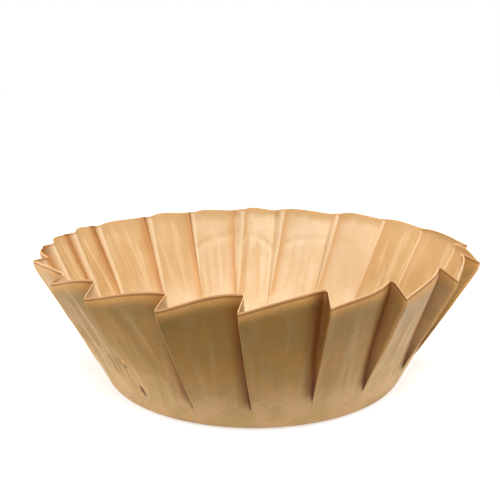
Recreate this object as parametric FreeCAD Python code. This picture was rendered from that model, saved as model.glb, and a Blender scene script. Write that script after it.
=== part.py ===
"""Round cake pan liner, pressed from one disc of parchment paper.

Units are millimetres and +Z is up.  The origin is the middle of the underside of the
flat base.  The wall flares, and the paper that the smaller circumference cannot use is
laid into knife pleats, all leaning the same way round.

Each pleat has strips that start together at its root, on top of the rounded base
corner, and spread apart on the way up to the rim:

    panel   wide and slightly bowed, from one ridge to the next valley
    fold    the rounded bend at the valley, set in from the rim
    turn    narrow, from the valley back out to the next ridge

The sheet's outer and inner skins are built strip by strip, and are closed by the cut
edge at the rim and by the floor.
"""

import FreeCAD, Part
import math
import os

# Driving dimensions
BASE_RADIUS = 78.0     # where floor and wall would meet if the corner were sharp
CORNER_RADIUS = 9.0    # outside of the bend between floor and wall
RIM_RADIUS = 115.0     # out to the ridges, at the cut edge
WALL_HEIGHT = 68.0     # up to the cut edge at a ridge
PLEAT_COUNT = 20
PLEAT_DEPTH = 6.7      # from a ridge in to its valley, at the rim
VALLEY_RISE = 5.5      # how much higher the cut edge is at a valley
PLEAT_OVERLAP = 3.2    # how far a panel tucks behind the next one, at the rim
PLEAT_LEAN = 3.0       # how far a ridge trails behind its root, at the rim
FOLD_RADIUS = 1.4      # outside of the bend at a valley, at the rim
PANEL_BOW = 0.8        # how far a panel's middle stands out of its chord, at the rim
EDGE_ARCH = 0.8        # how far the edge, cut round while flat, rises along a panel
PAPER = 0.2            # thickness of the sheet

# Sizes that follow
PITCH = 2 * math.pi / PLEAT_COUNT
VALLEY_RADIUS = RIM_RADIUS - PLEAT_DEPTH
VALLEY_HEIGHT = WALL_HEIGHT + VALLEY_RISE
FLARE = (RIM_RADIUS + VALLEY_RADIUS) / 2 - BASE_RADIUS
RISE = (WALL_HEIGHT + VALLEY_HEIGHT) / 2
WALL_ANGLE = math.atan2(RISE, FLARE)        # mean angle between wall and floor
LEVEL_PAPER = PAPER / math.sin(WALL_ANGLE)  # the sloping sheet, measured level
FLOOR_RADIUS = BASE_RADIUS - CORNER_RADIUS * math.tan(WALL_ANGLE / 2)

UP = FreeCAD.Vector(0, 0, 1)
AXIS = FreeCAD.Vector(0, 0, 0)


def polar(radius, angle, height):
    """The point at this radius, angle round the axis, and height."""
    return FreeCAD.Vector(radius * math.cos(angle), radius * math.sin(angle), height)


def level_way(start, end):
    """The level direction from one point to another."""
    way = end - start
    way.z = 0
    return way.normalize()


def inward(way):
    """The level direction on the left of a way round the wall."""
    return FreeCAD.Vector(-way.y, way.x, 0)


def along(start, end, share):
    """The point at this share of the way from start to end."""
    return start + (end - start) * share


def turned_by_pitch(vector, times):
    """The vector, turned round the axis by this many pleats."""
    return FreeCAD.Rotation(UP, math.degrees(PITCH * times)).multVec(vector)


def rim_points():
    """One pleat's points on the cut edge, for the outer skin and for the inner one.

    Each list runs from a ridge: ridge, middle of the panel, start of the fold, middle
    of the fold, start of the turn, next ridge.
    """
    trail = -PLEAT_LEAN / RIM_RADIUS
    ridge = polar(RIM_RADIUS, trail, WALL_HEIGHT)
    next_ridge = polar(RIM_RADIUS, trail + PITCH, WALL_HEIGHT)
    tuck = PLEAT_OVERLAP / VALLEY_RADIUS
    valley = polar(VALLEY_RADIUS, trail + PITCH + tuck, VALLEY_HEIGHT)

    out_way = level_way(ridge, valley)
    back_way = level_way(valley, next_ridge)
    bend = out_way.getAngle(back_way)
    reach = FOLD_RADIUS * math.tan(bend / 2)
    fold_start = along(valley, ridge, reach / out_way.dot(valley - ridge))
    turn_start = along(valley, next_ridge, reach / back_way.dot(next_ridge - valley))
    to_centre = (back_way - out_way).normalize()
    fold_middle = valley + to_centre * (FOLD_RADIUS / math.cos(bend / 2) - FOLD_RADIUS)
    fold_middle.z = (fold_start.z + turn_start.z) / 2

    panel_in = inward(out_way)
    turn_in = inward(back_way)
    panel_middle = along(ridge, fold_start, 0.5) - panel_in * PANEL_BOW + UP * EDGE_ARCH
    before_in = inward(turned_by_pitch(back_way, -1))
    ridge_shift = (before_in + panel_in) * (1 / (1 + before_in.dot(panel_in)))

    outer = [ridge, panel_middle, fold_start, fold_middle, turn_start, next_ridge]
    shifts = [
        ridge_shift,
        panel_in,
        panel_in,
        to_centre * -1,
        turn_in,
        turned_by_pitch(ridge_shift, 1),
    ]
    inner = [point + shift * LEVEL_PAPER for point, shift in zip(outer, shifts)]
    return outer, inner, math.tan(bend / 2) * LEVEL_PAPER


def rim_edges(points):
    """The cut edge's three pieces: the panel's, the fold's and the turn's."""
    ridge, panel_middle, fold_start, fold_middle, turn_start, next_ridge = points
    return [
        Part.Arc(ridge, panel_middle, fold_start).toShape(),
        Part.Arc(fold_start, fold_middle, turn_start).toShape(),
        Part.LineSegment(turn_start, next_ridge).toShape(),
    ]


def level_arc(radius, start, height):
    """An arc round the axis, one pleat long."""
    angles = (start, start + PITCH / 2, start + PITCH)
    return Part.Arc(*(polar(radius, angle, height) for angle in angles)).toShape()


def skin(bend_radius, points, shift):
    """One side of the whole sheet: its wall, its rounded corner and its floor.

    bend_radius is this side's own radius round the base corner.  shift carries the
    roots along the wall, as far as the sheet's thickness carries the bends at the rim.
    """
    floor_z = CORNER_RADIUS - bend_radius
    root_radius = FLOOR_RADIUS + bend_radius * math.sin(WALL_ANGLE)
    root_z = CORNER_RADIUS - bend_radius * math.cos(WALL_ANGLE)
    halfway_radius = FLOOR_RADIUS + bend_radius * math.sin(WALL_ANGLE / 2)
    halfway_z = CORNER_RADIUS - bend_radius * math.cos(WALL_ANGLE / 2)

    start = shift / root_radius
    root = polar(root_radius, start, root_z)
    next_root = polar(root_radius, start + PITCH, root_z)
    corner = Part.Arc(
        polar(FLOOR_RADIUS, start, floor_z),
        polar(halfway_radius, start, halfway_z),
        root,
    ).toShape()

    panel_edge, fold_edge, turn_edge = rim_edges(points)
    pleat = [
        corner.revolve(AXIS, UP, math.degrees(PITCH)),
        Part.makeRuledSurface(level_arc(root_radius, start, root_z), panel_edge, 1),
        taper(next_root, fold_edge),
        triangle(next_root, turn_edge),
    ]
    floor_edge = all_round([level_arc(FLOOR_RADIUS, start, floor_z)])
    floor = Part.Face(Part.Wire(floor_edge))
    return all_round(pleat) + [floor]


def taper(root, arc):
    """The bent strip that runs from an arc down to a point."""
    curve = arc.Curve.toBSpline(*arc.ParameterRange)
    poles = curve.getPoles()
    weights = curve.getWeights()
    surface = Part.BSplineSurface()
    surface.buildFromPolesMultsKnots(
        [poles, [root] * len(poles)],
        [2, 2],
        curve.getMultiplicities(),
        [0, 1],
        curve.getKnots(),
        False,
        False,
        1,
        curve.Degree,
        [weights, weights],
    )
    return surface.toShape()


def triangle(root, edge):
    """The flat strip that runs from a straight edge down to a point."""
    start, end = (vertex.Point for vertex in edge.Vertexes)
    return Part.Face(Part.makePolygon([root, start, end, root]))


def all_round(shapes):
    """The shapes of one pleat, repeated for every pleat."""
    return [
        shape.rotated(AXIS, UP, math.degrees(PITCH * times))
        for times in range(PLEAT_COUNT)
        for shape in shapes
    ]


def make_liner():
    """The whole sheet, as one closed solid."""
    outer, inner, shift = rim_points()
    cut_edge = [
        Part.makeRuledSurface(outside, inside, 1)
        for outside, inside in zip(rim_edges(outer), rim_edges(inner))
    ]
    faces = skin(CORNER_RADIUS, outer, 0)
    faces += skin(CORNER_RADIUS - PAPER, inner, shift)
    faces += all_round(cut_edge)
    shell = Part.Shell(faces)
    shell.sewShape()
    liner = Part.Solid(shell)
    if liner.Volume < 0:
        liner.reverse()
    return liner


os.makedirs("parts", exist_ok=True)
make_liner().exportStep("parts/liner.step")
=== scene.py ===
"""A round cake pan liner of unbleached baking parchment, on a pale studio floor."""

import math
import random

import bmesh
import bpy
from mathutils import Matrix, Vector, noise


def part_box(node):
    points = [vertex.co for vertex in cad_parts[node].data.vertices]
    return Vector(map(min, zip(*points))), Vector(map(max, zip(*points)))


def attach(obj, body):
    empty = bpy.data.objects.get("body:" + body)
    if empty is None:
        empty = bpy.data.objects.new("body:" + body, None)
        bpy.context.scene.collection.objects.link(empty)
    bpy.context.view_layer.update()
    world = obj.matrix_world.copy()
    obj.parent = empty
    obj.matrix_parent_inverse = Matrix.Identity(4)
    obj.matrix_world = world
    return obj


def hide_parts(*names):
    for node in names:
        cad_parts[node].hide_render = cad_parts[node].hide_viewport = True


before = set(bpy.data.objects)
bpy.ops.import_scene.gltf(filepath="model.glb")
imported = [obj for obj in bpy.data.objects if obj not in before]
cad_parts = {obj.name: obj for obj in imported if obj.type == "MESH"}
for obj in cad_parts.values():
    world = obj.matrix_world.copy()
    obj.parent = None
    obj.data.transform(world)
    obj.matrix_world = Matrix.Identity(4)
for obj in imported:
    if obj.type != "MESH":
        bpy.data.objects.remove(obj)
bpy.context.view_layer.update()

MM = 0.001

# The liner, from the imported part
top_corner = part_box("liner")[1]
RIM_RADIUS = top_corner.x         # out to the ridges
TOP = top_corner.z                # of the cut edge, at a valley

# The pressed form
PLEATS = 20
CORNER_RADIUS = 9 * MM            # of the bend between base and wall
BASE_RADIUS = 78 * MM             # where base and wall would meet if the bend were sharp
PLEAT_DEPTH = 6.7 * MM            # from a ridge in to a valley, at the rim
VALLEY_RISE = 5.5 * MM            # how much higher the cut edge is at a valley
RIDGE_RADIUS = 0.5 * MM           # of the bend at a ridge, at the rim
LEAN = math.radians(1.5)          # how far a ridge trails behind its root
PAPER = 0.2 * MM                  # thickness of the sheet
EDGE = 0.5 * MM                   # and at the cut, where the shears fluff the fibres
FIRST_RIDGE = math.radians(-1.5)  # where the ridge nearest the front stands
ROOT_GATHER = 0.6 * MM            # width in which a pleat's lines meet at its root
OPENING = 0.75                    # power by which a pleat opens on its way up
BEND_BEFORE = 0.4                 # the most that a bend takes of the strip before it
BEND_AFTER = 0.55                 # and of the strip after it
BOW_LIFT = 0.25                   # share of a panel's bow by which its cut edge rises
LIP = 6.5 * MM                    # band under the cut edge that curls in
LIP_CURL = 1.8 * MM               # how far it has curled at the edge
LIP_FLARE = 0.6                   # share of that by which the wall flares out below it
CURLED_PLACES = 6                 # places from the front at which the full curl ends
BACK_CURL = 0.15                  # share of the curl that is left beyond them

# Where painted shade darkens the paper at a pleat. Shares of a pleat run from its start to the
# rim.
FOLD_SHADE = 0.7                  # share of a panel after which it turns in to its fold
RIDGE_SHADE = 0.3                 # share of a panel over which it turns in to its ridge
TURN_FADE = 0.8                   # how much of the fold's shade the turn loses
LEFT_FADE = 0.5                   # how much the shade loses at the rim, on the left
LINES_SHOW = 0.1                  # share of a pleat over which its lines appear
SLIT_WIDTH = 0.9 * MM             # of the painted shade line where a fold closes at its root
SLIT_SHOWS = 0.03                 # share of a pleat over which that line appears
SLIT_TOP = 0.45                   # share of a pleat at which it is gone

# The crinkle that the press leaves, in shares of the wall, with its heights in millimetres
CRINKLE_FOOT = 0.25               # where it has grown to its full height
CRINKLE_TOP = 0.71                # where it ends, at the middle of a panel
CRINKLE_FADE = 0.05               # stretch over which it ends
BROW_RISE = 0.01                  # how far above that the raised line along its top is
BROW_WIDTH = 0.022
BROW_HEIGHT = 0.28
RIBBED = (8, 9, -10)              # places of the pleats that the press also ribs
RIB_TURNS = 115                   # turn of the ribs' wave, in radians, per radian round
RIB_HEIGHT = 0.6
RIBBED_BROW = 5                   # how many times as high the raised line is there

# Waves in the paper: about how many lie in a radian round the wall, how many on the way
# up it, where the pattern starts, and how far they stand, in millimetres
DENTS = (5, 1.6, 0, 0.7)
RIPPLES = (16, 1.2, 3, 0.3)
FINE = (42, 2.6, 0, 0.5)
FINER = (90, 5, 7, 0.18)
# The same for waves that change others: how far the ribs sway, in radians, and how much
# the ribs' height and the raised line's height vary
RIB_SWAY = (12, 1, 0, 3)
RIB_CHANGE = (7, 2, 0, 1)
BROW_CHANGE = (9, 0, 0, 1)
RIB_STRENGTH = 0.7                # share of the ribs' height before it varies
BROW_STRENGTH = 0.4               # and of the raised line's

# The sheet's mesh: steps round one pleat, and rows out from the middle
RIDGE_STEPS = 4
PANEL_STEPS = 28
FOLD_STEPS = 6
TURN_STEPS = 4
STEPS = RIDGE_STEPS + PANEL_STEPS + FOLD_STEPS + TURN_STEPS
COLUMNS = PLEATS * STEPS
CROWDING = 0.45                   # how far a panel's steps crowd towards its ends
BASE_ROWS = 3
CORNER_ROWS = 8
WALL_ROWS = 40
RIM_ROWS = (2.0 * MM, 1.3 * MM, 0.8 * MM, 0.4 * MM, 0.0)  # down from the cut edge
SAME = PAPER / 100                # points closer than this are one
LAST_ROW = 0.997                  # share of the wall above which only the cut edge lies
SHARP = math.radians(60)          # bends sharper than this are shaded as edges

# Sizes that follow
PITCH = 2 * math.pi / PLEATS
VALLEY_RADIUS = RIM_RADIUS - PLEAT_DEPTH
RIDGE_HEIGHT = TOP - VALLEY_RISE
MEAN_RIM = RIM_RADIUS - PLEAT_DEPTH / 2
MEAN_TOP = TOP - VALLEY_RISE / 2
WALL_ANGLE = math.atan2(MEAN_TOP, MEAN_RIM - BASE_RADIUS)
FLOOR_RADIUS = BASE_RADIUS - CORNER_RADIUS * math.tan(WALL_ANGLE / 2)
ROOT_RADIUS = FLOOR_RADIUS + CORNER_RADIUS * math.sin(WALL_ANGLE)
ROOT_HEIGHT = CORNER_RADIUS * (1 - math.cos(WALL_ANGLE))
SLANT = math.hypot(MEAN_RIM - ROOT_RADIUS, MEAN_TOP - ROOT_HEIGHT)

SEED = 7                          # of all that chance gives the pleats

# The pleats at the front, by place, counted round to the right from the one nearest the
# middle: how far the ridge is turned out of its even place, and how far the panel tucks
# behind the next ridge, in degrees; how far the ridge sinks, how far the valley stands
# above its even height, how far the panel's top arches, and the radius of its fold, in
# millimetres; the share of the wall at which its ridge starts; and how pale the panel is,
# from 0 to 1, which spares it that much of the painted shade on the upper wall.
FRONT_PLEATS = {
    -3: (1.1, 0.2, 0.4, 0.0, 0.6, 1.2, 0.12, 0.8),
    -2: (-2.4, 1.6, 1.4, 0.0, 1.0, 1.2, 0.36, 0.3),
    -1: (-1.3, 1.5, 0.9, 1.4, 1.5, 1.5, 0.09, 0.0),
    0: (-2.0, 0.3, 0.0, 2.2, 0.4, 1.8, 0.12, 0.0),
    1: (-1.0, -1.1, -0.9, 2.5, -0.8, 2.0, 0.18, 0.4),
    2: (-0.6, -3.6, -0.7, 2.2, 0.3, 1.5, 0.17, 0.7),
    3: (2.0, -1.5, -0.7, 1.0, 0.8, 1.5, 0.21, 0.5),
}
# The other pleats have the same values, each between its least and its most
RIGHT_TUCK = (-3.5, -2.0)
LEFT_TUCK = (0.6, 1.6)
SINK = (-2.2, -1.4)
RISE = (-2.6, -1.6)
ARCH = (-0.1, 0.5)
FOLD = (1.8, 2.6)
RIGHT_FOLD = 0.8                  # how much wider the folds are on the right
START = (0.1, 0.2)
WORN = (0.0, 0.2)
BACK_HIGHLIGHT = 0.8                   # how much paler the back is: a painted highlight
HIGHLIGHT_MIDDLE = 8.6                   # number round at which that is strongest
HIGHLIGHT_REACH = 4                    # how many pleats it reaches to each side
# How far their ridges are turned out of their even places, in degrees
TURNS = {
    4: 1.5, 5: 3.5, 6: 9.4, 7: 9.5, 8: 10.4, 9: 12.3,
    -10: 8.8, -9: 5.7, -8: 4.6, -7: 7.7, -6: 2.9, -5: 1.5, -4: -0.4,
}

# How far some ridges stand out, and how far some roots stand out of place, in millimetres
REACH = {-5: 0.5, -4: 0.6, 4: 2.4, 5: 2.4}
ROOTS = {-2: -2.5, -1: 1.1, 0: 2.3, 1: 1.7, 2: 1.9}
# What every pleat has by chance: how far its ridge stands in, how far its panel bows out,
# and how far its root is out of place, in millimetres; and how the crinkle's top slopes
# and sags across the panel, in shares of the wall
INSET = (0, 0.5)
BOW = (1.9, 2.5)
ROOT_SHIFT = (-0.4, 0.4)
SLOPE = (-0.12, 0.12)
SAG = (0.0, 0.3)

# Single creases and soft folds pressed or handled into the wall: the angle round at the
# rim and at the foot, in degrees, the shares of the wall between which each shows, and
# its height and half width, in millimetres. A groove has a negative height.
CREASES = (
    (-49.3, -44.2, 0.08, 1.0, -0.5, 0.7),
    (-47.3, -42.9, 0.10, 0.9, 0.3, 1.2),
    (-36.0, -23.6, 0.25, 0.95, 0.4, 2.0),
    (-33.0, -21.0, 0.25, 0.95, -0.5, 2.0),
    (-29.0, -23.9, 0.2, 0.8, 0.35, 0.8),
    (-12.5, -11.0, 0.1, 0.75, 0.2, 2.0),
    (-21.6, -21.0, 0.35, 0.7, 0.18, 1.0),
    (-17.6, -10.0, 0.22, 0.6, 0.16, 1.0),
    (-15.6, -8.6, 0.25, 0.55, -0.14, 1.0),
    (-8.0, -6.4, 0.2, 0.5, 0.12, 1.0),
    (2.6, 5.6, 0.3, 0.72, 0.18, 1.0),
    (11.5, 10.0, 0.1, 0.9, 0.15, 2.2),
    (20.8, 30.0, 0.1, 0.95, 0.35, 1.4),
    (24.5, 28.0, 0.3, 0.95, -0.35, 2.2),
    (40.0, 42.0, 0.1, 0.9, 0.2, 1.8),
)
CREASE_START = 0.15               # shares of the wall over which a crease begins
CREASE_END = 0.1                  # and ends

# Small dark marks: each runs from one place on the wall to another, given by the
# angle round in degrees and the share of the wall; then its half width in millimetres.
# The second lies where a fold closes at its root, and is painted shade there.
DARK_MARKS = (
    (-40.9, 0.376, -38.6, 0.356, 1.5),
    (-37.7, 0.225, -36.8, 0.098, 1.4),
)
DARK_MARK_DEPTH = 10 * MM              # half the depth in which a dark mark marks the paper

# The paper's tones on each side: plain; clouded by its fibres; painted shade on the upper
# wall; the band under the cut edge, painted light on the outside; streaked pale; painted
# shade in a fold, along the ribs and under the cut edge, which also darkens the grain;
# painted shade in a closed fold; along a crest, partly rubbed fibres and partly painted
# highlight; at the cut, paler fibres and a painted highlight; and on the base, painted
# darker inside, against the light that the base faces
OUTSIDE = {
    "body": "#E8C28C", "mottle": "#C2A862", "handled": "#E4B05C", "lip": "#FFC678",
    "pale": "#EACA88", "deep": "#84420A", "slit": "#541C02", "crest": "#FFCC84",
    "cut": "#FFCA92", "base": "#E8C28C",
}
INSIDE = {
    "body": "#F3DCB8", "mottle": "#E4C28C", "handled": "#D0A66C", "lip": "#D4B07C",
    "pale": "#F4DCB4", "deep": "#DEAE76", "slit": "#D8A468", "crest": "#F6DEB8",
    "cut": "#ECD0A0", "base": "#CFAE80",
}
CUT_FIBRES = "#E8BC88"            # broken fibres on the cut itself
GLOW = "#D49A50"                  # light that has come through the paper
GLOW_SHARE = 0.12

# Real sizes of the paper's patterns
CLOUD = 15 * MM                   # width of a fibre cloud
GRAIN = 1.2 * MM                  # finer on real paper, and drawn this coarse to show
STREAK = 40 * MM                  # length of a streak
STREAKS_ROUND = 30.8              # streaks in a radian, so about 5 mm wide at the rim
RELIEF = 0.3 * MM                 # height of the streaks
GRAIN_RELIEF = 0.1                # share of it that the grain has
RAGGED = 0.12                     # share of the wall by which clouds move the lip's tone
STREAKS_FADE = 0.12               # share of the wall over which streaks begin

# The table top, in metres and shares of white
TABLE_SIZE = 6.0                  # half its width
POOL_SQUASH = (0.4, 1.0, 1.0)     # the pool of light on it is wider than deep
POOL = (0.09, 0.145)              # how far out it starts to fade, and has faded
POOL_WHITE = (0.8, 0.8, 0.8, 1)
DIM_WHITE = (0.08, 0.08, 0.08, 1)
TABLE_WHITE = (0.75, 0.75, 0.75, 1)
TABLE_SHINE = 0.75                # with the light on it, this comes to plain white

# The lamps: degrees round from the front and above level, degrees wide, and strength
LAMPS = {
    "key": (2, 63, 22, 3.25),
    "back": (180, 70, 22, 1.2),
    "right": (98, 8, 50, 1.45),
    "left": (-95, 4, 24, 1.95),
}
ROOM_LIGHT = (1, 0.8, 0.5, 1)     # warm light from the walls of the room
ROOM_STRENGTH = 0.08
WHITE = (1, 1, 1, 1)

# The camera
CAMERA_BACK = 3.47                # how far back it stands, in rim radiuses
CAMERA_UP = 1.38                  # how far up
CAMERA_TILT = 12.86               # how far down it looks, in degrees
LENS = 54.75                      # in millimetres, as is the sensor
SENSOR = 36
SHIFT = -0.0086                   # of the view sideways, by its width


def at(radius, angle, height):
    """The point at this radius and height, and this angle round from the front."""
    return Vector((radius * math.sin(angle), -radius * math.cos(angle), height))


def mix(start, end, share):
    """The number or point at this share of the way from start to end."""
    return start + (end - start) * share


def smooth_step(value):
    """A smooth rise from 0 to 1, as the value goes from 0 to 1."""
    value = min(max(value, 0.0), 1.0)
    return value * value * (3 - 2 * value)


def lay_pleats():
    """Each pleat's lines at the rim, a little uneven, as the press and hands leave them."""
    chance = random.Random(SEED)
    pleats = []
    for number in range(PLEATS):
        place = number if number < PLEATS / 2 else number - PLEATS
        # The back panels are paler: a painted highlight for the bright back of the inside
        back_highlight = BACK_HIGHLIGHT * smooth_step(1 - abs(number - HIGHLIGHT_MIDDLE) / HIGHLIGHT_REACH)
        loose = (
            TURNS.get(place, 0),
            chance.uniform(*(RIGHT_TUCK if place > 0 else LEFT_TUCK)),
            chance.uniform(*SINK),
            chance.uniform(*RISE),
            chance.uniform(*ARCH),
            chance.uniform(*FOLD) + (RIGHT_FOLD if place > 0 else 0),
            chance.uniform(*START),
            chance.uniform(*WORN) + back_highlight,
        )
        turn, tuck, sink, rise, arch, fold, start, paleness = FRONT_PLEATS.get(place, loose)
        inset = chance.uniform(*INSET)
        bow = chance.uniform(*BOW)
        root_shift = chance.uniform(*ROOT_SHIFT) + ROOTS.get(place, 0)
        pleats.append(
            {
                "place": place,
                "ridge": FIRST_RIDGE + number * PITCH + math.radians(turn),
                "tuck": math.radians(tuck),
                "radius": RIM_RADIUS + (REACH.get(place, 0) - inset) * MM,
                "height": RIDGE_HEIGHT - sink * MM,
                "arch": arch * MM,
                "bow": bow * MM,
                "rise": rise * MM,
                "fold": fold * MM,
                "start": start,
                "paleness": paleness,
                "root": root_shift * MM / ROOT_RADIUS,
                "slope": chance.uniform(*SLOPE),
                "sag": chance.uniform(*SAG),
            }
        )
    return pleats


def bend(corner, before, after, radius, steps):
    """Points along a rounded bend at a corner, on the way from before to after."""
    way_in = (corner - before).normalized()
    way_out = (after - corner).normalized()
    reach = radius * math.tan(way_in.angle(way_out) / 2)
    most_before = BEND_BEFORE * (corner - before).length
    most_after = BEND_AFTER * (after - corner).length
    reach = min(reach, most_after, most_before)
    start = corner - way_in * reach
    end = corner + way_out * reach
    shares = [step / steps for step in range(steps + 1)]
    return [
        mix(mix(start, corner, share), mix(corner, end, share), share) for share in shares
    ]


def panel_share(step):
    """Where a panel's column stands between its ends: closer together near the folds."""
    share = step / PANEL_STEPS
    return mix(share, smooth_step(share), CROWDING)


def rim_line(pleats):
    """The cut edge: one point for each column of the sheet, ridge by ridge."""
    ridges = [at(pleat["radius"], pleat["ridge"], pleat["height"]) for pleat in pleats]
    valleys = [
        at(VALLEY_RADIUS, ahead["ridge"] + pleat["tuck"], TOP + pleat["rise"])
        for pleat, ahead in zip(pleats, pleats[1:] + pleats[:1])
    ]
    ridge_bends = []
    folds = []
    for number, pleat in enumerate(pleats):
        ridge, valley = ridges[number], valleys[number]
        next_ridge = ridges[(number + 1) % PLEATS]
        ridge_bends.append(
            bend(ridge, valleys[number - 1], valley, RIDGE_RADIUS, RIDGE_STEPS)
        )
        folds.append(bend(valley, ridge, next_ridge, pleat["fold"], FOLD_STEPS))
    line = []
    for number, pleat in enumerate(pleats):
        ridge_bend, fold = ridge_bends[number], folds[number]
        next_bend = ridge_bends[(number + 1) % PLEATS]
        start, end = ridge_bend[-1], fold[0]
        out = Vector((end.y - start.y, start.x - end.x, 0)).normalized()
        line += ridge_bend[:-1]
        for step in range(PANEL_STEPS):
            share = panel_share(step)
            # 27 / 4 brings the curve's highest point to 1, two thirds of the way across
            curve = 27 / 4 * share * share * (1 - share)
            stand = out * pleat["bow"] * curve
            stand.z = (pleat["arch"] + pleat["bow"] * BOW_LIFT) * curve
            line.append(mix(start, end, share) + stand)
        line += fold[:-1]
        line += [
            mix(fold[-1], next_bend[0], step / TURN_STEPS) for step in range(TURN_STEPS)
        ]
    return line


def root_angles(pleats):
    """Where each column stands on the ring at the foot of the wall."""
    roots = [pleat["ridge"] + LEAN + pleat["root"] for pleat in pleats]
    roots.append(roots[0] + 2 * math.pi)
    gathered = ROOT_GATHER / ROOT_RADIUS
    ridge_part = gathered * RIDGE_STEPS / STEPS
    closing = FOLD_STEPS + TURN_STEPS
    angles = []
    for start, end in zip(roots, roots[1:]):
        angles += [
            start + ridge_part * step / RIDGE_STEPS for step in range(RIDGE_STEPS)
        ]
        panel = (start + ridge_part, end - gathered)
        angles += [mix(*panel, panel_share(step)) for step in range(PANEL_STEPS)]
        angles += [panel[1] + gathered * step / closing for step in range(closing)]
    return angles


def flat_angles(cut_edge, first):
    """Where each column lies round the flat sheet, by the paper along the cut edge."""
    lengths = [0.0]
    for point, following in zip(cut_edge, cut_edge[1:] + cut_edge[:1]):
        lengths.append(lengths[-1] + (following - point).length)
    return [first + 2 * math.pi * length / lengths[-1] for length in lengths]


def sheet_rows():
    """Distances from the middle of the flat sheet: across the base, bend and wall."""
    corner_arc = CORNER_RADIUS * WALL_ANGLE
    wall = FLOOR_RADIUS + corner_arc
    rows = [FLOOR_RADIUS * row / BASE_ROWS for row in range(BASE_ROWS)]
    rows += [FLOOR_RADIUS + corner_arc * row / CORNER_ROWS for row in range(CORNER_ROWS)]
    plain = SLANT - RIM_ROWS[0]
    rows += [wall + plain * row / WALL_ROWS for row in range(WALL_ROWS)]
    rows += [wall + SLANT - down for down in RIM_ROWS]
    return rows


def wave(around, up, kind):
    """How far waves of one kind stand here; around points round the wall."""
    count, climb, start, height = kind
    return noise.noise(around * count + Vector((0, 0, start + up * climb))) * height


def crinkle(place_angle, flat_angle, up, pleat, across):
    """How far the paper stands off the smooth wall here, and how deep in a rib it lies.

    place_angle is where the paper stands round the wall, and flat_angle where it lay on
    the flat sheet. up runs from 0 at the foot of the wall to 1 at the rim, and across
    from 0 at a panel's ridge to 1 at its fold.
    """
    stood = Vector((math.cos(place_angle), math.sin(place_angle), 0))
    lain = Vector((math.cos(flat_angle), math.sin(flat_angle), 0))
    soft = wave(stood, up, DENTS) + wave(stood, up, RIPPLES)
    off_middle = across - 0.5
    end = CRINKLE_TOP + pleat["slope"] * off_middle - pleat["sag"] * off_middle ** 2
    pressed = smooth_step((end - up) / CRINKLE_FADE) * smooth_step(up / CRINKLE_FOOT)
    brow = math.exp(-(((up - end - BROW_RISE) / BROW_WIDTH) ** 2)) * BROW_HEIGHT
    rib = 0.0
    if pleat["place"] in RIBBED:
        strength = RIB_STRENGTH + wave(lain, up, RIB_CHANGE)
        phase = flat_angle * RIB_TURNS + wave(lain, up, RIB_SWAY)
        rib = math.sin(phase) * max(strength, 0)
        brow *= RIBBED_BROW
    fine = wave(lain, up, FINE) + rib * RIB_HEIGHT
    brow *= BROW_STRENGTH + wave(lain, up, BROW_CHANGE)
    # The soft waves grow to their full height over the lowest third of the wall
    stand = soft * smooth_step(up * 3) + (fine + wave(lain, up, FINER)) * pressed + brow
    return stand * MM, max(rib, 0) * pressed


def creases(angle, up):
    """How far the single creases push the wall out here; angle in degrees."""
    stand = 0.0
    for at_rim, at_foot, lowest, highest, height, width in CREASES:
        if lowest < up <= highest:
            off = math.radians(angle - mix(at_foot, at_rim, up))
            off *= mix(ROOT_RADIUS, MEAN_RIM, up) / (width * MM)
            fade = smooth_step((up - lowest) / CREASE_START)
            fade *= smooth_step((highest - up) / CREASE_END) if highest < 1 else 1
            stand += height * MM * math.exp(-off * off) * fade
    return stand


def curl(place, up):
    """How far the wall flares out, and then curls in at the lip."""
    turned_in = (max(up * SLANT - SLANT + LIP, 0) / LIP) ** 2
    curled = LIP_CURL * (1 if abs(place) < CURLED_PLACES else BACK_CURL)
    return curled * (LIP_FLARE * up - turned_in)


def lie_here(pleat, in_pleat, across, up, opened):
    """How the paper lies here: the values that its tones follow, up to 1 each.

    in_pleat counts the steps from the pleat's ridge. opened runs from 0 where the pleat
    starts to 1 at the rim.
    """
    shows = smooth_step(opened / LINES_SHOW)
    turned = max(in_pleat - RIDGE_STEPS - PANEL_STEPS, 0) / (FOLD_STEPS + TURN_STEPS)
    ridge = shows * smooth_step(1 - across / RIDGE_SHADE)
    # The outside's painted shade, deepening in to the fold
    fold = smooth_step((across - FOLD_SHADE) / (1 - FOLD_SHADE)) - TURN_FADE * turned
    if pleat["place"] < 0:
        # Over the top quarter of the wall
        fold *= 1 - LEFT_FADE * smooth_step(4 * up - 3)
    fold *= shows
    off_fold = max(1 - across, 0) * mix(ROOT_RADIUS, MEAN_RIM, up) * PITCH / SLIT_WIDTH
    tight = smooth_step(opened / SLIT_SHOWS) * smooth_step(1 - opened / SLIT_TOP)
    # Inside, painted shade lies at the ridge end on the left and at the fold end on the right
    inside_shade = ridge if pleat["place"] <= 0 else fold
    return {
        "wall": up,
        "paleness": pleat["paleness"],
        "fold": fold,
        "inside_shade": inside_shade if across <= 1 else 0,
        # Paler along the ridge outside, partly rubbed fibres and partly a painted highlight,
        # and along the turn strip inside, a painted highlight
        "turned": 0 if across < 1 else shows * (1 - turned),
        "crest": shows if across < 0 else 0,
        # A painted shade line where the fold closes at its root
        "slit": tight * math.exp(-off_fold * off_fold),
    }


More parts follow.
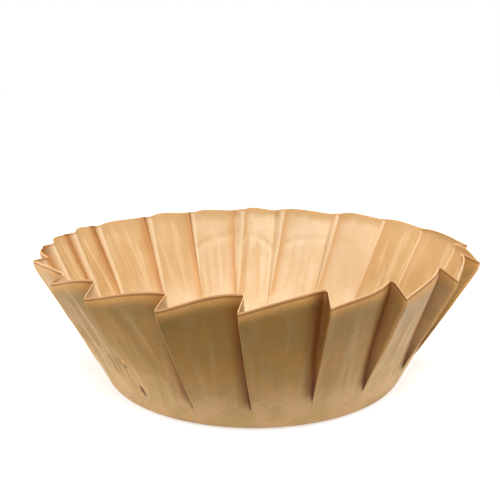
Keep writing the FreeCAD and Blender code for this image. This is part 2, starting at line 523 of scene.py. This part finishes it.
def press(sheet, rows, pleats):
    """Fold the flat disc into the liner, and note for each point how the paper lies."""
    cut_edge = rim_line(pleats)
    roots = root_angles(pleats)
    rim_turns = flat_angles(cut_edge, roots[0])
    wall_start = BASE_ROWS + CORNER_ROWS
    kinds = ("wall", "paleness", "fold", "inside_shade", "turned", "crest", "slit", "ribbed")
    notes = {kind: sheet.verts.layers.float.new(kind) for kind in kinds}
    flat = {}
    sheet.verts.index_update()
    for vert in sheet.verts:
        row = round((vert.co.y + 0.5) * (len(rows) - 1))
        column = round((vert.co.x + 0.5) * COLUMNS) % COLUMNS
        angle = roots[column]
        if row <= BASE_ROWS:
            vert.co = at(rows[row], angle, 0)
            flat[vert.index] = vert.co.copy()
            continue
        if row <= wall_start:
            swing = WALL_ANGLE * (row - BASE_ROWS) / CORNER_ROWS
            radius = FLOOR_RADIUS + CORNER_RADIUS * math.sin(swing)
            vert.co = at(radius, angle, CORNER_RADIUS * (1 - math.cos(swing)))
            flat[vert.index] = at(rows[row], angle, 0)
            continue
        pleat = pleats[column // STEPS]
        following = pleats[(column // STEPS + 1) % PLEATS]
        in_pleat = column % STEPS
        across = (in_pleat - RIDGE_STEPS) / PANEL_STEPS
        up = (rows[row] - rows[wall_start]) / SLANT
        start = mix(pleat["start"], following["start"], min(max(across, 0), 1))
        foot = at(ROOT_RADIUS, angle, ROOT_HEIGHT)
        plain = at(MEAN_RIM, angle - LEAN, MEAN_TOP)
        opened = max(up - start, 0) / (1 - start)
        grown = opened ** OPENING
        place = mix(foot, plain, up) + (cut_edge[column] - plain) * grown
        out = Vector((place.x, place.y, 0)).normalized()
        place_angle = mix(angle, rim_turns[column], grown)
        stand, ribbed = crinkle(place_angle, rim_turns[column], up, pleat, across)
        stand += creases(math.degrees(math.atan2(place.x, -place.y)), up)
        vert.co = place + out * (stand + curl(pleat["place"], up))
        for kind, value in lie_here(pleat, in_pleat, across, up, opened).items():
            vert[notes[kind]] = value
        # The rib note carries painted shade along the ribs
        vert[notes["ribbed"]] = ribbed
        flat_foot = at(rows[wall_start], angle, 0)
        flat_rim = at(rows[-1], rim_turns[column], 0)
        flat[vert.index] = mix(flat_foot, flat_rim, up)
    flat_map = sheet.loops.layers.uv.new("sheet")
    for face in sheet.faces:
        for loop in face.loops:
            spot = flat[loop.vert.index]
            loop[flat_map].uv = (spot.x, spot.y)
    # The grid's two sides meet in a seam, and its first row meets in the base's middle
    bmesh.ops.remove_doubles(sheet, verts=sheet.verts, dist=SAME)


def make_liner():
    """The whole liner: a grid of squares pressed into one sheet, and given its thickness."""
    rows = sheet_rows()
    sheet = bmesh.new()
    bmesh.ops.create_grid(sheet, x_segments=COLUMNS, y_segments=len(rows) - 1, size=0.5)
    press(sheet, rows, lay_pleats())
    mesh = bpy.data.meshes.new("liner_sheet")
    sheet.to_mesh(mesh)
    sheet.free()
    liner = bpy.data.objects.new("liner_sheet", mesh)
    bpy.context.collection.objects.link(liner)
    mesh.materials.append(parchment("parchment_outside", OUTSIDE, "crest", "fold", DARK_MARKS))
    mesh.materials.append(parchment("parchment_inside", INSIDE, "turned", "inside_shade", ()))
    mesh.materials.append(cut_paper())
    cut_edge = liner.vertex_groups.new(name="cut_edge")
    ups = mesh.attributes["wall"].data
    last = [vert.index for vert in mesh.vertices if ups[vert.index].value > LAST_ROW]
    cut_edge.add(last, 1.0, "REPLACE")
    thick = liner.modifiers.new("paper", "SOLIDIFY")
    thick.thickness = EDGE
    thick.vertex_group = cut_edge.name
    thick.thickness_vertex_group = PAPER / EDGE
    thick.offset = -1
    thick.material_offset = 1
    thick.material_offset_rim = 2
    whole = bpy.data.meshes.new_from_object(
        liner.evaluated_get(bpy.context.evaluated_depsgraph_get())
    )
    liner.modifiers.clear()
    liner.data = whole
    whole.shade_smooth()
    whole.set_sharp_from_angle(angle=SHARP)
    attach(liner, "root")
    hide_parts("liner")


def linear(code):
    """A linear colour from an sRGB hex code."""
    values = [int(code[start:start + 2], 16) / 255 for start in (1, 3, 5)]
    return tuple(
        value / 12.92 if value <= 0.04045 else ((value + 0.055) / 1.055) ** 2.4
        for value in values
    ) + (1.0,)


def add(tree, kind, settings=None, inputs=None):
    """A node with its settings, and its inputs set to values or linked to sockets."""
    node = tree.nodes.new(kind)
    for name, value in (settings or {}).items():
        setattr(node, name, value)
    for key, value in (inputs or {}).items():
        if isinstance(value, bpy.types.NodeSocket):
            tree.links.new(value, node.inputs[key])
        else:
            node.inputs[key].default_value = value
    return node


def blank(name):
    """A new material and its empty node tree."""
    finish = bpy.data.materials.new(name)
    finish.use_nodes = True
    finish.node_tree.nodes.clear()
    return finish, finish.node_tree


def lay_tone(tree, under, tone, follows, span, most, rise="SMOOTHSTEP"):
    """A tone laid over another: none at the start of the span of what it follows, and
    its most at the end."""
    share = add(
        tree, "ShaderNodeMapRange", {"interpolation_type": rise},
        {"Value": follows, "From Min": span[0], "From Max": span[1], "To Max": most},
    )
    mixed = add(
        tree, "ShaderNodeMix", {"data_type": "RGBA"},
        {"Factor": share.outputs["Result"], "A": under, "B": tone},
    )
    return mixed.outputs["Result"]


def wall_point(angle, up):
    """The point on the plain wall at this angle round, in degrees, and share of it."""
    radius = mix(ROOT_RADIUS, MEAN_RIM, up)
    return at(radius, math.radians(angle), mix(ROOT_HEIGHT, MEAN_TOP, up))


def dark_mark_frame(start_angle, start_up, end_angle, end_up, half_width):
    """The middle, turn and half sizes of the ellipsoid round a dark mark."""
    start, end = wall_point(start_angle, start_up), wall_point(end_angle, end_up)
    middle = mix(start, end, 0.5)
    way = (end - start).normalized()
    level = way.cross(Vector((middle.x, middle.y, 0))).normalized()
    turn = Matrix((level, way.cross(level), way)).transposed().to_euler()
    return middle, turn, (half_width * MM, DARK_MARK_DEPTH, (end - start).length / 2)


def streaks_outwards(tree, sheet, wall):
    """Streaks that run from the middle of the sheet outwards, and not on the base."""
    way = add(tree, "ShaderNodeVectorMath", {"operation": "NORMALIZE"}, {0: sheet})
    around = add(
        tree, "ShaderNodeVectorMath", {"operation": "SCALE"},
        {0: way.outputs[0], "Scale": STREAKS_ROUND},
    )
    reach = add(tree, "ShaderNodeVectorMath", {"operation": "LENGTH"}, {0: sheet})
    out = add(tree, "ShaderNodeCombineXYZ", None, {"Z": reach.outputs["Value"]})
    lane = add(
        tree, "ShaderNodeVectorMath", {"operation": "MULTIPLY_ADD"},
        {0: out.outputs[0], 1: (0, 0, 1 / STREAK), 2: around.outputs[0]},
    )
    streaks = add(
        tree, "ShaderNodeTexNoise", None,
        {"Vector": lane.outputs[0], "Scale": 1.0, "Detail": 1.5, "Roughness": 0.5},
    )
    on_wall = add(
        tree, "ShaderNodeMapRange", {"interpolation_type": "SMOOTHSTEP"},
        {"Value": wall, "From Max": STREAKS_FADE, "To Max": streaks.outputs["Fac"]},
    )
    return on_wall.outputs["Result"]


def parchment(name, tones, crest, shade, dark_marks):
    """Unbleached siliconised parchment, pressed hot: a smooth dull sheen, soft fibre
    clouds and streaks along the press's ribs, and thin enough that light behind it glows
    through. Over that lie painted light and shade: painted highlights on the ridges and at
    the cut, a painted light band at the lip outside, and painted shade on the upper wall,
    in the folds and along the ribs.

    crest and shade name the notes that this side's crests and painted shade follow.
    """
    finish, tree = blank(name)
    sheet = add(tree, "ShaderNodeUVMap", {"uv_map": "sheet"}).outputs["UV"]
    note = {
        kind: add(tree, "ShaderNodeAttribute", {"attribute_name": kind}).outputs["Fac"]
        for kind in ("wall", "paleness", "ribbed", "slit", crest, shade)
    }
    wall = note["wall"]
    clouds = add(
        tree, "ShaderNodeTexNoise", None,
        {"Vector": sheet, "Scale": 1 / CLOUD, "Detail": 3.0, "Roughness": 0.55},
    ).outputs["Fac"]
    grain = add(
        tree, "ShaderNodeTexNoise", None, {"Vector": sheet, "Scale": 1 / GRAIN, "Detail": 2.0}
    ).outputs["Fac"]
    streaks = streaks_outwards(tree, sheet, wall)
    ragged = add(
        tree, "ShaderNodeMath", {"operation": "MULTIPLY_ADD"}, {0: clouds, 1: RAGGED, 2: wall}
    ).outputs[0]
    upper_shade_strength = add(
        tree, "ShaderNodeMapRange", {"interpolation_type": "SMOOTHSTEP"},
        {"Value": note["paleness"], "From Min": 1.0, "From Max": 0.0},
    ).outputs["Result"]
    # Over the plain body, each tone in turn: what it follows, from where to where, and
    # its most
    layers = (
        # Painted shade on the upper wall, for the lesser light there; paler panels are spared
        # it
        ("handled", wall, (0.1, 0.5), upper_shade_strength),
        # On the inside the base is painted darker, against the light that it faces
        ("base", wall, (0.04, 0.0), 1.0),
        ("mottle", clouds, (0.42, 0.6), 0.42),
        ("pale", streaks, (0.5, 0.68), 0.36),
        # The band under the cut edge, painted light on the outside
        ("lip", ragged, (0.94, 1.03), 0.9),
        # Painted shade along the ribs
        ("deep", note["ribbed"], (0.1, 0.8), 0.35),
        # Painted shade in the folds, and inside on the side of a pleat that the light misses
        ("deep", note[shade], (0.0, 1.0), 0.85, "LINEAR"),
        # Painted shade in the closed folds at their roots
        ("slit", note["slit"], (0.0, 1.0), 0.9, "LINEAR"),
        # Paler along a crest: on the outside partly rubbed fibres and partly painted highlight;
        # inside a painted highlight
        ("crest", note[crest], (0.1, 0.7), 0.8),
        # A painted shadow line under the cut edge
        ("deep", wall, (0.974, 0.980), 0.65),
        # Paler at the cut: the fibres' own tone, widened into a painted highlight
        ("cut", wall, (0.987, 0.992), 0.9),
        ("deep", grain, (0.45, 0.75), 0.18),
    )
    colour = linear(tones["body"])
    for tone, *where in layers:
        colour = lay_tone(tree, colour, linear(tones[tone]), *where)
    place = add(tree, "ShaderNodeTexCoord").outputs["Object"]
    # Small dark marks; the second is painted shade where a fold closes at its root
    for dark_mark in dark_marks:
        middle, turn, size = dark_mark_frame(*dark_mark)
        near = add(
            tree, "ShaderNodeMapping", {"vector_type": "TEXTURE"},
            {"Vector": place, "Location": middle, "Rotation": turn, "Scale": size},
        )
        off = add(tree, "ShaderNodeVectorMath", {"operation": "LENGTH"}, {0: near.outputs[0]})
        dark = linear(tones["slit"])
        colour = lay_tone(tree, colour, dark, off.outputs["Value"], (1.0, 0.4), 0.9)
    relief = add(
        tree, "ShaderNodeMath", {"operation": "MULTIPLY_ADD"},
        {0: grain, 1: GRAIN_RELIEF, 2: streaks},
    )
    bump = add(
        tree, "ShaderNodeBump", None,
        {"Height": relief.outputs[0], "Strength": 0.5, "Distance": RELIEF},
    ).outputs["Normal"]
    # The press polishes the streaks a little
    shine = add(
        tree, "ShaderNodeMapRange", None,
        {"Value": streaks, "From Min": 0.3, "From Max": 0.7, "To Min": 0.55, "To Max": 0.42},
    )
    surface = add(
        tree, "ShaderNodeBsdfPrincipled", None,
        {"Base Color": colour, "Roughness": shine.outputs["Result"], "IOR": 1.45,
         "Specular IOR Level": 0.25, "Normal": bump},
    )
    glow = add(
        tree, "ShaderNodeBsdfTranslucent", None, {"Color": linear(GLOW), "Normal": bump}
    )
    both = add(
        tree, "ShaderNodeMixShader", None,
        {0: GLOW_SHARE, 1: surface.outputs[0], 2: glow.outputs[0]},
    )
    add(tree, "ShaderNodeOutputMaterial", None, {"Surface": both.outputs[0]})
    return finish


def cut_paper():
    """The sheet's cut edge, where the broken fibres are paler than the pressed face."""
    finish, tree = blank("cut_edge")
    surface = add(
        tree, "ShaderNodeBsdfPrincipled", None,
        {"Base Color": linear(CUT_FIBRES), "Roughness": 0.8},
    )
    add(tree, "ShaderNodeOutputMaterial", None, {"Surface": surface.outputs[0]})
    return finish


def seen(tree):
    """1 for what the eye sees straight, in a gloss or through glass; 0 for soft light."""
    path = add(tree, "ShaderNodeLightPath").outputs
    straight = add(
        tree, "ShaderNodeMath", {"operation": "ADD"},
        {0: path["Is Camera Ray"], 1: path["Is Glossy Ray"]},
    )
    through = add(
        tree, "ShaderNodeMath", {"operation": "ADD", "use_clamp": True},
        {0: straight.outputs[0], 1: path["Is Transmission Ray"]},
    )
    return through.outputs[0]


def make_table():
    """A matt white table top. To the eye it is plain white, and it keeps the liner's
    shadow. It sends light back up only from a pool round the liner."""
    table = bmesh.new()
    bmesh.ops.create_grid(table, x_segments=1, y_segments=1, size=TABLE_SIZE)
    mesh = bpy.data.meshes.new("table")
    table.to_mesh(mesh)
    table.free()
    top = bpy.data.objects.new("table", mesh)
    bpy.context.collection.objects.link(top)
    paint, tree = blank("table_paint")
    spot = add(tree, "ShaderNodeTexCoord")
    squashed = add(
        tree, "ShaderNodeVectorMath", {"operation": "MULTIPLY"},
        {0: spot.outputs["Object"], 1: POOL_SQUASH},
    )
    reach = add(tree, "ShaderNodeVectorMath", {"operation": "LENGTH"}, {0: squashed.outputs[0]})
    pool = lay_tone(tree, POOL_WHITE, DIM_WHITE, reach.outputs["Value"], POOL, 1.0)
    bounce = add(tree, "ShaderNodeBsdfDiffuse", None, {"Color": pool})
    lit = add(tree, "ShaderNodeBsdfDiffuse", None, {"Color": TABLE_WHITE})
    white = add(tree, "ShaderNodeEmission", None, {"Color": WHITE, "Strength": TABLE_SHINE})
    plain = add(tree, "ShaderNodeAddShader", None, {0: lit.outputs[0], 1: white.outputs[0]})
    either = add(
        tree, "ShaderNodeMixShader", None,
        {0: seen(tree), 1: bounce.outputs[0], 2: plain.outputs[0]},
    )
    add(tree, "ShaderNodeOutputMaterial", None, {"Surface": either.outputs[0]})
    mesh.materials.append(paint)


def add_lamp(name, round_from_front, above_level, spread, strength):
    """A soft distant lamp, with its angles in degrees."""
    light = bpy.data.lights.new(name, "SUN")
    light.angle = math.radians(spread)
    light.energy = strength
    lamp = bpy.data.objects.new(name, light)
    bpy.context.collection.objects.link(lamp)
    climb = math.radians(above_level)
    away = at(math.cos(climb), math.radians(round_from_front), math.sin(climb))
    lamp.location = away
    lamp.rotation_euler = away.to_track_quat("Z", "Y").to_euler()


def light_room():
    """The lamps, and a room that is plain white to the eye and gives a little warm light."""
    world = bpy.data.worlds.new("room")
    bpy.context.scene.world = world
    world.use_nodes = True
    tree = world.node_tree
    tree.nodes.clear()
    soft = add(
        tree, "ShaderNodeBackground", None, {"Color": ROOM_LIGHT, "Strength": ROOM_STRENGTH}
    )
    white = add(tree, "ShaderNodeBackground", None, {"Color": WHITE, "Strength": 1.0})
    either = add(
        tree, "ShaderNodeMixShader", None,
        {0: seen(tree), 1: soft.outputs[0], 2: white.outputs[0]},
    )
    add(tree, "ShaderNodeOutputWorld", None, {"Surface": either.outputs[0]})
    for name, lamp in LAMPS.items():
        add_lamp(name, *lamp)


def set_camera():
    """The camera, in front of the liner and looking down at it a little."""
    data = bpy.data.cameras.new("camera")
    data.lens = LENS
    data.sensor_width = SENSOR
    data.shift_x = SHIFT
    camera = bpy.data.objects.new("camera", data)
    bpy.context.collection.objects.link(camera)
    camera.location = (0, -CAMERA_BACK * RIM_RADIUS, CAMERA_UP * RIM_RADIUS)
    camera.rotation_euler = (math.radians(90 - CAMERA_TILT), 0, 0)
    bpy.context.scene.camera = camera


make_liner()
make_table()
light_room()
set_camera()
bpy.context.scene.view_settings.view_transform = "Standard"
